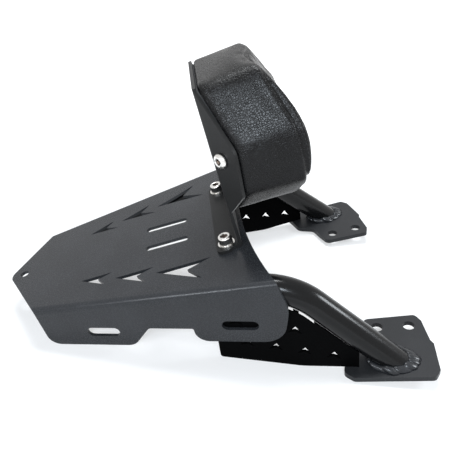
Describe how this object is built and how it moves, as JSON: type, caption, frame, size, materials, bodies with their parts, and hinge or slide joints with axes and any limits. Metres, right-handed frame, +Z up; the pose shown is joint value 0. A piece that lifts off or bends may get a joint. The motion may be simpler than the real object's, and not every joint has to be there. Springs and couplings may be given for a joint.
{
  "type": "motorcycle luggage rack with backrest",
  "caption": "Folded sheet-metal luggage rack with slotted side flanges, chevron cut-outs, bent tube arms on bolt-on feet, and a padded passenger backrest on a folded bracket.",
  "frame": {"origin": "centre between the two front foot bolts, on the underside of the feet", "axes": "+X to the front of the motorcycle, +Y to its left, +Z up"},
  "size_m": [0.4022, 0.3112, 0.2616],
  "materials": {
    "deck_coat": "textured satin black powder coat",
    "arm_coat": "satin black powder coat",
    "bracket_coat": "satin black powder coat",
    "fasteners": "bright stainless steel",
    "cover": "grained black cover",
    "board": "plain plywood"
  },
  "bodies": {
    "root": {"backrest_board": "board", "backrest_bracket": "bracket_coat", "backrest_pad": "cover", "left_arm_tube": "arm_coat", "left_deck_nut": "fasteners", "left_deck_screw": "fasteners", "left_deck_washer": "fasteners", "left_foot_plate": "arm_coat", "left_foot_weld": "arm_coat", "left_gusset": "arm_coat", "left_pad_screw": "fasteners", "left_tee_nut": "fasteners", "left_under_washer": "fasteners", "rack_deck": "deck_coat", "right_arm_tube": "arm_coat", "right_deck_nut": "fasteners", "right_deck_screw": "fasteners", "right_deck_washer": "fasteners", "right_foot_plate": "arm_coat", "right_foot_weld": "arm_coat", "right_gusset": "arm_coat", "right_pad_screw": "fasteners", "right_tee_nut": "fasteners", "right_under_washer": "fasteners"}
  },
  "joints": []
}
